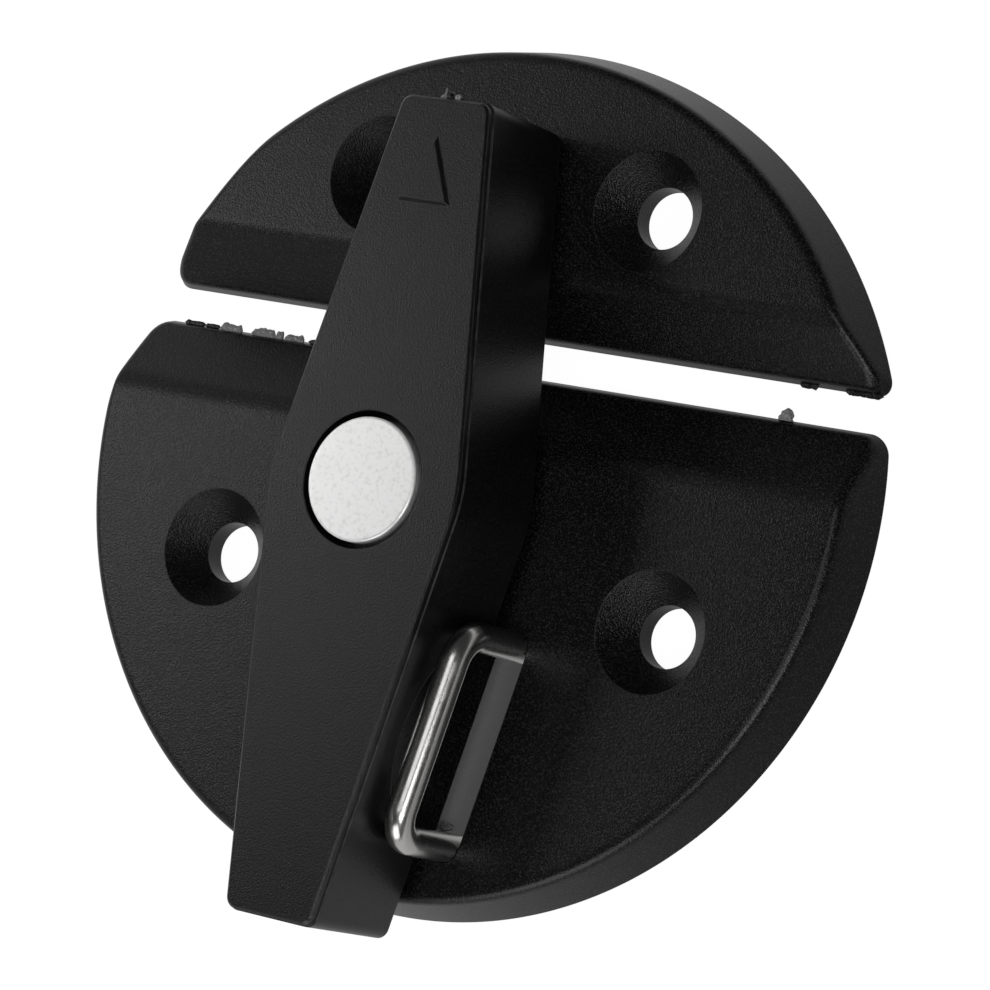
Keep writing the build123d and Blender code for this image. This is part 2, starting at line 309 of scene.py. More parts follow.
# %% Satin steel for the pivot and the washers
def steel(name, colour, metal, dull_low, dull_high, mark_mm, mark_depth):
    """Steel: its colour, how metallic it is, the range of its roughness, and its marks in mm."""
    material, tree, shader = new_material(name)
    marks = add_node(tree, "ShaderNodeGroup", node_tree=grain)
    marks.inputs["Grain Size mm"].default_value = mark_mm
    marks.inputs["Glint Size mm"].default_value = 0.35
    marks.inputs["Cloud Size mm"].default_value = 1.6
    dull_range = {"From Min": 0.3, "From Max": 0.7, "To Min": dull_low, "To Max": dull_high}
    dullness = add_node(tree, "ShaderNodeMapRange", dull_range)
    tint = add_node(tree, "ShaderNodeMix", data_type="RGBA")
    tint.inputs["A"].default_value = (*colour, 1)
    tint.inputs["B"].default_value = (*[c * 0.86 for c in colour], 1)
    bump = add_node(tree, "ShaderNodeBump", {"Strength": 1.0, "Distance": mark_depth * MM})
    link_all(tree, [
        (marks, "Cloud", dullness, "Value"),
        (dullness, "Result", shader, "Roughness"),
        (marks, "Glint", tint, "Factor"),
        (tint, "Result", shader, "Base Color"),
        (marks, "Height", bump, "Height"),
        (bump, "Normal", shader, "Normal"),
    ])
    shader.inputs["Metallic"].default_value = metal
    print("steel", name)
    return material


satin_steel = steel(
    "satin_steel", colour=(0.77, 0.77, 0.765), metal=0.5, dull_low=0.29, dull_high=0.33,
    mark_mm=0.3, mark_depth=0.0003,
)

# %% [markdown]
# The side of the head was left as the lathe cut it, so it is far rougher than the top. It is the same
# steel with other values.

# %% Rough turned steel
turned_steel = steel(
    "turned_steel", colour=(0.75, 0.75, 0.745), metal=0.8, dull_low=0.5, dull_high=0.65,
    mark_mm=0.13, mark_depth=0.05,
)

# %% [markdown]
# The wire was drawn, which leaves fine lines along it, and then polished. The lines follow the wire
# round its bends, so they can't come from fixed coordinates. The wire's mesh will carry two
# attributes for this: the way along the wire, and the place on its section. A noise that is stretched
# along the first and fine across the second makes the lines.

# %% Drawn and polished wire
polished_wire, wire_tree, wire_shader = new_material("polished_wire")
along = add_node(wire_tree, "ShaderNodeAttribute", attribute_name="along")
section = add_node(wire_tree, "ShaderNodeAttribute", attribute_name="section")
LINES_ALONG, LINES_ACROSS = 60.0, 4500.0  # noise cells in a metre
slow = add_node(wire_tree, "ShaderNodeMath", {1: LINES_ALONG}, operation="MULTIPLY")
across = add_node(wire_tree, "ShaderNodeVectorMath", {"Scale": LINES_ACROSS}, operation="SCALE")
shift = add_node(wire_tree, "ShaderNodeCombineXYZ")
drawn_place = add_node(wire_tree, "ShaderNodeVectorMath", operation="ADD")
lines = add_node(wire_tree, "ShaderNodeTexNoise", {"Scale": 1.0, "Detail": 2.0, "Roughness": 0.6})
scuffs = add_node(wire_tree, "ShaderNodeGroup", node_tree=grain)
scuffs.inputs["Cloud Size mm"].default_value = 1.1
wire_range = {"From Min": 0.3, "From Max": 0.7, "To Min": 0.2, "To Max": 0.3}
wire_dull = add_node(wire_tree, "ShaderNodeMapRange", wire_range)
wire_bump = add_node(wire_tree, "ShaderNodeBump", {"Strength": 1.0, "Distance": 0.001 * MM})
link_all(wire_tree, [
    (along, "Fac", slow, 0),
    (slow, 0, shift, "Z"),
    (section, "Vector", across, 0),
    (across, 0, drawn_place, 0),
    (shift, 0, drawn_place, 1),
    (drawn_place, 0, lines, "Vector"),
    (lines, "Fac", wire_bump, "Height"),
    (scuffs, "Cloud", wire_dull, "Value"),
    (wire_dull, "Result", wire_shader, "Roughness"),
    (wire_bump, "Normal", wire_shader, "Normal"),
])
wire_shader.inputs["Base Color"].default_value = (0.62, 0.61, 0.60, 1)
wire_shader.inputs["Metallic"].default_value = 1.0
print("steel", polished_wire.name)

# %% [markdown]
# ## Thrust washer
# A thin washer of pale unfilled nylon lies between the lever and the base. Only its rim can be seen,
# in the narrow gap, so a plain grey with the fine grain is enough.

# %% Nylon
nylon, nylon_tree, nylon_shader = new_material("nylon")
nylon_skin = add_node(nylon_tree, "ShaderNodeGroup", node_tree=grain)
nylon_bump = add_node(nylon_tree, "ShaderNodeBump", {"Strength": 0.5, "Distance": 0.01 * MM})
nylon_tree.links.new(nylon_skin.outputs["Height"], nylon_bump.inputs["Height"])
nylon_tree.links.new(nylon_bump.outputs["Normal"], nylon_shader.inputs["Normal"])
nylon_shader.inputs["Base Color"].default_value = (0.10, 0.10, 0.098, 1)
nylon_shader.inputs["Roughness"].default_value = 0.5

# %% Give every node its finish
finishes = {
    "latch_base": plate_plastic,
    "keeper_plate": plate_plastic,
    "turn_lever": lever_plastic,
    "pivot_rivet": satin_steel,
    "disc_spring": satin_steel,
    "rear_washer": satin_steel,
    "thrust_washer": nylon,
    "padlock_staple": polished_wire,
}
for name, finish in finishes.items():
    slots = nodes[name].data.materials
    slots.clear()
    slots.append(finish)
print("finished", len(finishes), "nodes")

# %% [markdown]
# ## Helpers for shapes
# Every new shape below is a mesh that is built in code. Most of them are stacks of rings, such as a
# turned rivet or a cutter for a screw hole, so one helper skins a stack of rings and closes both
# ends. Another cuts or joins two solids with Blender's exact boolean, which copes with faces that
# meet at odd angles.

# %% Helpers for shapes
def tidy_mesh(mesh):
    """The same mesh with its double points merged, its faces turned outwards and no stored normals."""
    if "custom_normal" in mesh.attributes:
        mesh.attributes.remove(mesh.attributes["custom_normal"])
    tidy = bmesh.new()
    tidy.from_mesh(mesh)
    bmesh.ops.remove_doubles(tidy, verts=tidy.verts, dist=0.0005 * MM)
    bmesh.ops.recalc_face_normals(tidy, faces=tidy.faces)
    tidy.to_mesh(mesh)
    tidy.free()
    return mesh


def solid_from_rings(rings):
    """A closed mesh through rings of points in mm, all of one length, from one end to the other."""
    count, around = len(rings), len(rings[0])
    points = [tuple(point) for ring in rings for point in ring]
    faces = []
    for row in range(count - 1):
        for step in range(around):
            left, right = row * around + step, row * around + (step + 1) % around
            faces.append((left, right, right + around, left + around))
    faces.append(tuple(reversed(range(around))))
    faces.append(tuple(range((count - 1) * around, count * around)))
    mesh = bpy.data.meshes.new("solid")
    mesh.from_pydata(points, [], faces)
    mesh.transform(Matrix.Scale(MM, 4))
    return tidy_mesh(mesh)


def turned(profile, x=0, y=0, around=128):
    """A solid turned about an upright axis. Its profile lists radius and height from end to end."""
    turns = [2 * math.pi * step / around for step in range(around)]
    rings = [[(x + r * math.cos(a), y + r * math.sin(a), z) for a in turns] for r, z in profile]
    return solid_from_rings(rings)


def combine(mesh, other, operation):
    """The union of two solid meshes, or the first without the second."""
    first, second = bpy.data.objects.new("first", mesh), bpy.data.objects.new("second", other)
    for solid in (first, second):
        scene.collection.objects.link(solid)
    cut = first.modifiers.new("cut", "BOOLEAN")
    cut.operation, cut.solver, cut.object = operation, "EXACT", second
    result = bpy.data.meshes.new_from_object(first.evaluated_get(bpy.context.evaluated_depsgraph_get()))
    for solid in (first, second):
        bpy.data.objects.remove(solid)
    return result


def new_piece(name, mesh, material, body, sharp=28):
    """A finished piece: smooth but for its sharp corners, with its material, riding on a body."""
    mesh.name = name
    mesh.materials.clear()
    mesh.materials.append(material)
    mesh.polygons.foreach_set("use_smooth", [True] * len(mesh.polygons))
    mesh.set_sharp_from_angle(angle=math.radians(sharp))
    piece = bpy.data.objects.new(name, mesh)
    scene.collection.objects.link(piece)
    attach(piece, body)
    print(name, len(mesh.polygons), "faces")
    return piece


# %% [markdown]
# ## The two plates
# A moulded plate has no sharp corner: the rim, the long bevel, the thin edge and the pointed ends all
# melt into each other. Bevelling a finished mesh goes wrong where three such corners meet. Here the
# plate is a rule instead: each of its faces is a distance, and the distances are joined by a rounded
# maximum. Straight rays from inside the plate then find the surface, and rows of points along them
# become the mesh.

# %% The rule for a plate
TOP = 4.7
RIM_ANGLE = math.radians(13.6)
LEAN, SQUARE = math.tan(RIM_ANGLE), math.cos(RIM_ANGLE)
CUT_SOFTNESS = 1.0


def rounded(one, other, radius):
    """The larger of two distances, with a rounded corner where they cross."""
    corner = np.hypot(np.maximum(one + radius, 0), np.maximum(other + radius, 0))
    return np.minimum(np.maximum(one, other), -radius) + corner


def outside(x, y, z, plate, inset):
    """How far a point is outside the plate, in mm. Inside it, the distance is negative."""
    depth = plate["faces"] * (plate["edge"] - y)
    rim = (np.hypot(x, y - plate["centre"]) - plate["radius"] + z * LEAN) * SQUARE
    side, back, reach = plate["left_cut"]
    rim = rounded(rim, (side * x + back * y - reach + z * LEAN) * SQUARE, CUT_SOFTNESS)
    edge = (z * LEAN - depth) * SQUARE
    outline = rounded(rim, edge, np.where(x < 0, plate["left_tip"], plate["right_tip"]))
    slope = (TOP - plate["edge_height"]) / plate["bevel"]
    bevel = (z - plate["edge_height"] - depth * slope) / math.hypot(1, slope)
    at_edge = np.clip((edge - rim) / 2 + 0.5, 0, 1)
    corner = plate["corner"] + (plate["lip"] - plate["corner"]) * at_edge
    return rounded(outline, rounded(z - TOP, bevel, plate["crease"]), corner) + inset


def first_outside(distance, far, rays):
    """How far along each ray the surface lies, found by halving the range again and again."""
    low, high = np.zeros(rays), np.full(rays, float(far))
    for _ in range(30):
        middle = (low + high) / 2
        inside = distance(middle) < 0
        low, high = np.where(inside, middle, low), np.where(inside, high, middle)
    return (low + high) / 2


# %% [markdown]
# Points are wanted where the surface bends, and few where it is flat. So the outline is first traced
# finely, and then shared out anew by its length and by how much it turns. The same is done along each
# ray, up over the rim.

# %% Rays, shared out by length and bend
def share_out(x, y, count, bend_weight):
    """Places along a line of points, evenly spread but closer together where it bends."""
    dx, dy = np.diff(x), np.diff(y)
    heading = np.unwrap(np.arctan2(dy, dx))
    bend = np.abs(np.diff(heading, prepend=heading[0]))
    travel = np.concatenate([[0], np.cumsum(np.hypot(dx, dy) + bend_weight * bend)])
    return np.interp(np.linspace(0, travel[-1], count), travel, np.arange(len(x)))


FINE_TURNS, FINE_TILTS = 3601, 140
FAR_OUT, FAR_OVER, FAR_UP = 90, 20, 6
OUTLINE_BEND, RIM_BEND = 4.0, 0.8  # how much a bend counts, beside length


def plate_rings(plate, inset, rays=560, up=24, over=24, reach=3.0):
    """Rings of points, in mm, from the plate's foot up and in to the middle of its top face."""
    cx, cy = plate["inside"]
    fine = np.linspace(0, 2 * math.pi, FINE_TURNS)

    def along(s, dx, dy, z):
        return outside(cx + s * dx, cy + s * dy, z, plate, inset)

    foot = first_outside(lambda s: along(s, np.cos(fine), np.sin(fine), 0), FAR_OUT, FINE_TURNS)
    places = share_out(foot * np.cos(fine), foot * np.sin(fine), rays + 1, OUTLINE_BEND)[:-1]
    turn = np.interp(places, np.arange(FINE_TURNS), fine)
    dx, dy = np.cos(turn), np.sin(turn)
    start = first_outside(lambda s: along(s, dx, dy, 0), FAR_OUT, rays) - reach
    s_rows, z_rows = [], []
    for tilt in np.linspace(0, math.pi / 2, FINE_TILTS):
        far, rise = math.cos(tilt), math.sin(tilt)
        length = first_outside(lambda t: along(start + t * far, dx, dy, t * rise), FAR_OVER, rays)
        s_rows.append(start + length * far)
        z_rows.append(length * rise)
    s_rows, z_rows = np.array(s_rows), np.array(z_rows)
    rings = np.zeros((up + over, rays, 3))
    for ray in range(rays):
        places = share_out(s_rows[:, ray], z_rows[:, ray], up, RIM_BEND)
        rings[:up, ray, 0] = np.interp(places, np.arange(FINE_TILTS), s_rows[:, ray])
        rings[:up, ray, 2] = np.interp(places, np.arange(FINE_TILTS), z_rows[:, ray])
    for row in range(over):
        s = start * (1 - (row + 1) / (over + 1)) ** 0.6
        rings[up + row, :, 0] = s
        rings[up + row, :, 2] = first_outside(lambda z: along(s, dx, dy, z), FAR_UP, rays)
    rings[:, :, 1] = cy + rings[:, :, 0] * dy
    rings[:, :, 0] = cx + rings[:, :, 0] * dx
    return rings


# %% [markdown]
# The construction model has the plate's hollow underside, with its ribs. It is borrowed: a slightly
# smaller plate without the model leaves just the hollows, and those are cut out of the new plate.
# Screw holes, the pivot's bore and the staple's slot are cut by turned and stacked cutters a hair
# wider than the model's.

# %% Cutters for the plates
HOLLOW_INSET = 0.6  # less than the thinnest wall of the plates, in mm
FLARE_SLOPE = math.tan(math.radians(40))  # of a countersunk screw


def borrowed_hollow(node, plate):
    """What is empty under the plate in the construction model, as a solid."""
    rings = plate_rings(plate, HOLLOW_INSET, rays=240, up=12, over=8)
    block = solid_from_rings([rings[0] - (0, 0, 1), *rings])
    return combine(block, tidy_mesh(nodes[node].data.copy()), "DIFFERENCE")


def screw_cutter(x, y, bore=2.47, sink=4.84):
    """The space of a countersunk screw of 4.8 mm."""
    flare = [(bore, TOP - (sink - bore) / FLARE_SLOPE), (sink + FLARE_SLOPE / 2, TOP + 0.5)]
    return turned([(bore, -1), *flare], x, y)


def slot_cutter(x, y, turn, spacing=16.5, width=2.49):
    """The staple's slot: straight sides and round ends."""
    arc = [math.pi * step / 16 for step in range(17)]
    end = [(width / 2 * math.cos(a), spacing / 2 + width / 2 * math.sin(a)) for a in arc]
    outline = end + [(-px, -py) for px, py in end]
    c, s = math.cos(turn), math.sin(turn)
    placed = [(x + px * c - py * s, y + px * s + py * c) for px, py in outline]
    return solid_from_rings([[(px, py, z) for px, py in placed] for z in (-1, 6)])


# %% [markdown]
# In the photograph the two left-hand tips are a little narrower than the right-hand ones, so each
# plate has a straight cut on its left and a roundness for each tip. The base also carries the boss
# that the lever turns on, a plain turned cylinder. Two finishes differ by place. The flares of the
# screw holes have a coarser grain, because those pins wear the mould, and the walls of the staple's
# slot are smooth and painted paler, a painted reflection of the floor's light.

# %% Make both plates
PIVOT_Y = 6.8
BORE_RADIUS, BOSS_RADIUS, BOSS_TOP = 3.07, 8.0, 5.3
STAPLE_X, STAPLE_Y, STAPLE_TURN = 8.106, -11.3, -math.radians(8.13)
BASE_SCREWS = [(-20.9, 0), (20.9, 0)]
KEEPER_SCREWS = [(-12.7, 32.1), (12.7, 32.1)]
FLARE_REACH = 4.9
SLOT_HALF_WIDTH, SLOT_HALF_LENGTH = 1.3, 9.6
WALL, LEVEL = 0.3, 0.9  # how far the normal of a wall and of a level face rises
HAIR, FOOT_LIFT = 0.01, 0.004  # they keep the new plates inside the model's, in mm
base_rule = {
    "faces": 1, "edge": 18.2, "centre": 10.3, "radius": 36.0, "bevel": 5.7, "edge_height": 1.0,
    "left_tip": 1.3, "right_tip": 1.5, "corner": 0.65, "lip": 0.22, "crease": 0.6, "inside": (0, 6),
    "left_cut": (-0.959, 0.285, 38.25),
}
keeper_rule = {
    "faces": -1, "edge": 21.05, "centre": 6.7, "radius": 37.8, "bevel": 4.8, "edge_height": 1.0,
    "left_tip": 1.8, "right_tip": 1.5, "corner": 0.7, "lip": 0.22, "crease": 0.6, "inside": (0, 28.5),
    "left_cut": (-0.867, 0.498, 40.2),
}


def plate_solid(node, rule, cutters, boss=None):
    """A plate with soft corners, its hollow underside and its holes."""
    rings = plate_rings(rule, HAIR)
    rings[0, :, 2] = FOOT_LIFT
    solid = solid_from_rings(rings)
    if boss:
        solid = combine(solid, boss, "UNION")
    for cutter in (borrowed_hollow(node, rule), *cutters):
        solid = combine(solid, cutter, "DIFFERENCE")
    return solid


def mark_coarse(piece, holes):
    """Store on each face whether it is the flare of a screw hole, whose grain is coarser."""
    mesh = piece.data
    flags = []
    for face in mesh.polygons:
        near = min(math.hypot(face.center.x / MM - x, face.center.y / MM - y) for x, y in holes)
        flags.append(float(near < FLARE_REACH and WALL < face.normal.z < LEVEL))
    mesh.attributes.new("coarse", "FLOAT", "FACE").data.foreach_set("value", flags)
    print(piece.name, int(sum(flags)), "faces in flares")


def smooth_slot_painted_pale(piece):
    """Give the slot's walls, which a steel pin moulded, the smooth finish with its painted pale reflection.
    """
    mesh = piece.data
    mesh.materials.append(slot_painted_reflection)
    c, s = math.cos(STAPLE_TURN), math.sin(STAPLE_TURN)
    for face in mesh.polygons:
        dx, dy = face.center.x / MM - STAPLE_X, face.center.y / MM - STAPLE_Y
        within = abs(dx * c + dy * s) < SLOT_HALF_WIDTH and abs(dy * c - dx * s) < SLOT_HALF_LENGTH
        if within and abs(face.normal.z) < WALL:
            face.material_index = 1


base_cutters = [screw_cutter(x, y) for x, y in BASE_SCREWS]
base_cutters.append(turned([(BORE_RADIUS, -1), (BORE_RADIUS, 7)], 0, PIVOT_Y))
base_cutters.append(slot_cutter(STAPLE_X, STAPLE_Y, STAPLE_TURN))
boss = turned([(BOSS_RADIUS, 3.5), (BOSS_RADIUS, BOSS_TOP)], 0, PIVOT_Y)
base_solid = plate_solid("latch_base", base_rule, base_cutters, boss)
base_moulding = new_piece("base_moulding", base_solid, plate_plastic, "fixed_plates")
mark_coarse(base_moulding, BASE_SCREWS)
smooth_slot_painted_pale(base_moulding)
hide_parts("latch_base")

keeper_solid = plate_solid("keeper_plate", keeper_rule, [screw_cutter(x, y) for x, y in KEEPER_SCREWS])
keeper_moulding = new_piece("keeper_moulding", keeper_solid, plate_plastic, "fixed_plates")
mark_coarse(keeper_moulding, KEEPER_SCREWS)
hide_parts("keeper_plate")

# %% [markdown]
# ## The pivot's head
# The head is turned: flat, with a narrow round at its edge that gives the two bright arcs of light.
# The construction model has a small straight bevel there, so the whole rivet is turned again with a
# true round. The photograph shows the head nearly flush with the lever, so it stands a little higher
# than the model's.

# %% Turn the pivot
def round_corner(radius, height, size, steps=8):
    """The points of a rounded upper corner in a turned profile."""
    turns = [math.pi / 2 * step / steps for step in range(steps + 1)]
    return [(radius - size + size * math.cos(a), height - size + size * math.sin(a)) for a in turns]


HEAD_RADIUS, HEAD_THICK, HEAD_ROUND, HEAD_RAISED = 4.9, 2.4, 0.22, 0.3
head_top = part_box("pivot_rivet")[1][2] / MM + HEAD_RAISED
tail_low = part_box("pivot_rivet")[0][2] / MM
tail = [(1.8, tail_low), (2.7, tail_low + 0.12), (3.4, tail_low + 0.6), (3.4, 1.2), (2.2, 1.2), (2.2, 2.0)]
shank = [(3.0, 2.0), (3.0, head_top - HEAD_THICK), (HEAD_RADIUS, head_top - HEAD_THICK)]
head = [*round_corner(HEAD_RADIUS, head_top, HEAD_ROUND), (4.6, head_top), (1.5, head_top)]
rivet_profile = tail + shank + head
turned_pivot = new_piece("turned_pivot", turned(rivet_profile, 0, PIVOT_Y), satin_steel, "fixed_plates")
turned_pivot.data.materials.append(turned_steel)
for face in turned_pivot.data.polygons:
    face.material_index = int(abs(face.normal.z) < WALL)
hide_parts("pivot_rivet")

# %% [markdown]
# ## The wire staple
# A bent wire is a circle swept along a path, which is what Geometry Nodes do best. The path is a few
# straight runs, Fillet Curve bends them, and Curve to Mesh sweeps the section. On the way, the tree
# stores how far along the wire and where on its section each point is, for the drawn lines of the
# finish.

# %% A tree that sweeps a wire
def add_geometry_tree(name, inputs):
    """A geometry tree with a geometry input and output, and its named inputs."""
    sockets = [("Geometry", "NodeSocketGeometry", None), *inputs, ("Material", "NodeSocketMaterial", None)]
    return new_group(name, sockets, [("Geometry", "NodeSocketGeometry")], "GeometryNodeTree")


def finish_tree(tree, start, end, socket):
    """Close a geometry tree: smooth shading, real geometry, and its material."""
    smooth = add_node(tree, "GeometryNodeSetShadeSmooth")
    real = add_node(tree, "GeometryNodeRealizeInstances")
    painted = add_node(tree, "GeometryNodeSetMaterial")
    tree.links.new(socket, smooth.inputs["Geometry"])
    link_all(tree, [
        (smooth, "Geometry", real, "Geometry"),
        (real, "Geometry", painted, "Geometry"),
        (start, "Material", painted, "Material"),
        (painted, "Geometry", end, "Geometry"),
    ])


wire_inputs = [("Wire", FLOAT, 2 * MM), ("Upper Bend", FLOAT, 2 * MM), ("Foot Bend", FLOAT, 2 * MM)]
wire_inputs.append(("Split Height", FLOAT, 6 * MM))
bent_wire, w_in, w_out = add_geometry_tree("bent_wire", wire_inputs)
where = add_node(bent_wire, "GeometryNodeInputPosition")
parts = add_node(bent_wire, "ShaderNodeSeparateXYZ")
upper = add_node(bent_wire, "ShaderNodeMath", operation="GREATER_THAN")
bend = add_node(bent_wire, "ShaderNodeMix", data_type="FLOAT")
fillet = add_node(bent_wire, "GeometryNodeFilletCurve", {"Count": 14, "Limit Radius": False}, mode="POLY")
travel = add_node(bent_wire, "GeometryNodeSplineParameter")
STORE = "GeometryNodeStoreNamedAttribute"
keep_along = add_node(bent_wire, STORE, {"Name": "along"}, data_type="FLOAT", domain="POINT")
half = add_node(bent_wire, "ShaderNodeMath", {1: 0.5}, operation="MULTIPLY")
circle = add_node(bent_wire, "GeometryNodeCurvePrimitiveCircle", {"Resolution": 48})
keep_section = add_node(bent_wire, STORE, {"Name": "section"}, data_type="FLOAT_VECTOR", domain="POINT")
sweep = add_node(bent_wire, "GeometryNodeCurveToMesh", {"Fill Caps": True})
joins = [
    (where, 0, parts, 0),
    (parts, "Z", upper, 0),
    (w_in, "Split Height", upper, 1),
    (upper, 0, bend, "Factor"),
    (w_in, "Foot Bend", bend, "A"),
    (w_in, "Upper Bend", bend, "B"),
    (w_in, "Geometry", fillet, "Curve"),
    (bend, "Result", fillet, "Radius"),
    (fillet, "Curve", keep_along, "Geometry"),
    (travel, "Length", keep_along, "Value"),
    (w_in, "Wire", half, 0),
    (half, 0, circle, "Radius"),
    (circle, "Curve", keep_section, "Geometry"),
    (where, 0, keep_section, "Value"),
    (keep_along, "Geometry", sweep, "Curve"),
    (keep_section, "Geometry", sweep, "Profile Curve"),
]
link_all(bent_wire, joins)
finish_tree(bent_wire, w_in, w_out, sweep.outputs["Mesh"])
print("tree", bent_wire.name, len(bent_wire.nodes), "nodes")

# %% [markdown]
# A tree becomes a piece in the same way each time: a curve object gets the tree as a modifier, the
# tree's inputs are set by their identifiers, and the evaluated result is kept as a plain mesh.

# %% Grow a mesh along a path
def grow(tree, runs, values, material):
    """A plain mesh that the tree makes from straight runs of points in mm."""
    curve = bpy.data.curves.new("path", "CURVE")
    curve.dimensions = "3D"
    for points in runs:
        spline = curve.splines.new("POLY")
        spline.points.add(len(points) - 1)
        for point, place in zip(spline.points, points):
            point.co = (*[value * MM for value in place], 1)
    carrier = bpy.data.objects.new("path", curve)
    scene.collection.objects.link(carrier)
    modifier = carrier.modifiers.new("grow", "NODES")
    modifier.node_group = tree
    for item in tree.interface.items_tree:
        if item.in_out == "INPUT" and item.name in values:
            modifier[item.identifier] = values[item.name]
        if item.name == "Material":
            modifier[item.identifier] = material
    mesh = bpy.data.meshes.new_from_object(carrier.evaluated_get(bpy.context.evaluated_depsgraph_get()))
    carrier.modifiers.remove(modifier)
    bpy.data.objects.remove(carrier)
    return mesh


# %% Bend the staple
def on_staple(along_wire, height):
    """A place in the upright plane of the staple, in mm."""
    x = STAPLE_X - along_wire * math.sin(STAPLE_TURN)
    return (x, STAPLE_Y + along_wire * math.cos(STAPLE_TURN), height)


WIRE, LEG, FOOT_LENGTH = 2.35, 16.5 / 2, 3
FOOT, BAR = 1.325, 12.225
wire_path = [on_staple(-LEG - FOOT_LENGTH, FOOT), on_staple(-LEG, FOOT), on_staple(-LEG, BAR)]
wire_path += [on_staple(LEG, BAR), on_staple(LEG, FOOT), on_staple(LEG + FOOT_LENGTH, FOOT)]
wire_sizes = {"Wire": WIRE * MM, "Upper Bend": 2.3 * MM, "Foot Bend": 1.8 * MM, "Split Height": 6 * MM}
wire_mesh = tidy_mesh(grow(bent_wire, [wire_path], wire_sizes, polished_wire))
wire_staple = new_piece("wire_staple", wire_mesh, polished_wire, "fixed_plates", sharp=50)
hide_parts("padlock_staple")

# %% [markdown]
# ## Flash
# Where the two halves of a mould meet, a little plastic creeps out and stays as a thin ragged fin. On
# the base it breaks off in lumps along the straight edge. A flat section is swept along short runs of
# that edge, and noise changes its size from point to point. The ends of each run taper off.

# %% A tree that grows flash
flash_inputs = [("Step", FLOAT, 0.06 * MM), ("Reach", FLOAT, 0.5 * MM), ("Flatness", FLOAT, 0.2)]
flash_inputs += [("Lumps", FLOAT, 1500.0), ("Seed", FLOAT, 3.0)]
flash_tree, f_in, f_out = add_geometry_tree("flash", flash_inputs)
cut_up = add_node(flash_tree, "GeometryNodeResampleCurve", mode="LENGTH")
upright = add_node(flash_tree, "GeometryNodeSetCurveNormal", mode="Z_UP")
ragged = add_node(flash_tree, "ShaderNodeTexNoise", {"Detail": 3.0, "Roughness": 0.7}, noise_dimensions="4D")
size = add_node(flash_tree, "ShaderNodeMapRange", {"From Min": 0.3, "From Max": 0.65, "To Min": 0.45})
spot = add_node(flash_tree, "GeometryNodeInputPosition")
share = add_node(flash_tree, "GeometryNodeSplineParameter")
from_end = add_node(flash_tree, "ShaderNodeMath", {1: 0.5}, operation="PINGPONG")
taper = add_node(flash_tree, "ShaderNodeMapRange", {"From Max": 0.12, "To Min": 0.1})
tapered = add_node(flash_tree, "ShaderNodeMath", operation="MULTIPLY")
fin = add_node(flash_tree, "GeometryNodeCurvePrimitiveCircle", {"Resolution": 12})
flat = add_node(flash_tree, "ShaderNodeCombineXYZ", {"Z": 1.0})
flat_y = add_node(flash_tree, "ShaderNodeMath", operation="MULTIPLY")
flattened = add_node(flash_tree, "GeometryNodeTransform")
swept = add_node(flash_tree, "GeometryNodeCurveToMesh", {"Fill Caps": True})
joins = [
    (f_in, "Geometry", cut_up, "Curve"),
    (f_in, "Step", cut_up, "Length"),
    (cut_up, "Curve", upright, "Curve"),
    (upright, "Curve", swept, "Curve"),
    (spot, 0, ragged, "Vector"),
    (f_in, "Seed", ragged, "W"),
    (f_in, "Lumps", ragged, "Scale"),
    (ragged, "Fac", size, "Value"),
    (share, "Factor", from_end, 0),
    (from_end, 0, taper, "Value"),
    (size, "Result", tapered, 0),
    (taper, "Result", tapered, 1),
    (tapered, 0, swept, "Scale"),
    (f_in, "Reach", flat, "X"),
    (f_in, "Reach", flat_y, 0),
    (f_in, "Flatness", flat_y, 1),
    (flat_y, 0, flat, "Y"),
    (flat, 0, flattened, "Scale"),
    (fin, "Curve", flattened, "Geometry"),
    (flattened, "Geometry", swept, "Profile Curve"),
]
link_all(flash_tree, joins)
finish_tree(flash_tree, f_in, f_out, swept.outputs["Mesh"])
print("tree", flash_tree.name, len(flash_tree.nodes), "nodes")

# %% [markdown]
# The runs follow the photograph: dark worn lumps near the base's left tip and beside the lever, four
# grey ones between them that the light comes through, and two faint lengths at the right end of the
# keeper's edge.

# %% Flash on both plates
def flash_piece(name, runs, height, reach, material, seed):
    """Flash along short runs of a plate's straight edge. A run is its first and last x and its y, in mm."""
    paths = [[(x0, y, height), ((x0 + x1) / 2, y, height), (x1, y, height)] for x0, x1, y in runs]
    values = {"Step": 0.07 * MM, "Reach": reach * MM, "Flatness": 0.28, "Lumps": 900.0, "Seed": seed}
    mesh = tidy_mesh(grow(flash_tree, paths, values, material))
    places = [vertex.co / MM for vertex in mesh.vertices]
    print(name, "y from", round(min(p.y for p in places), 2), "to", round(max(p.y for p in places), 2), "mm")
    return new_piece(name, mesh, material, "fixed_plates", sharp=40)


base_edge, keeper_edge = base_rule["edge"] - 0.02, keeper_rule["edge"] + 0.02
dark_runs = [(-31.6, -29.4, base_edge), (-29.5, -27.9, base_edge), (-18.9, -16.9, base_edge)]
grey_runs = [(-27.9, -25.6, base_edge), (-24.7, -22.2, base_edge)]
grey_runs += [(-22.2, -21.4, base_edge), (-21.3, -19.3, base_edge)]
faint_runs = [(26.8, 28.5, keeper_edge), (30.8, 34.2, keeper_edge)]
flash_piece("base_flash_dark", dark_runs, 0.75, 0.27, plate_plastic, 2.0)
flash_piece("base_flash_grey", grey_runs, 0.75, 0.56, flash_plastic, 6.0)
flash_piece("keeper_flash", faint_runs, 0.45, 0.33, plate_plastic, 4.0)

# %% [markdown]
# ## Torn stubs
# The plastic enters a mould through a narrow gate, and tearing that off leaves a rough stub. There is
# one on the lever's upper end, one on the base's straight edge, and some crumbs of burr hang in the
# staple's slot. Each is a few stacked rings whose size comes from noise, so no two are alike.

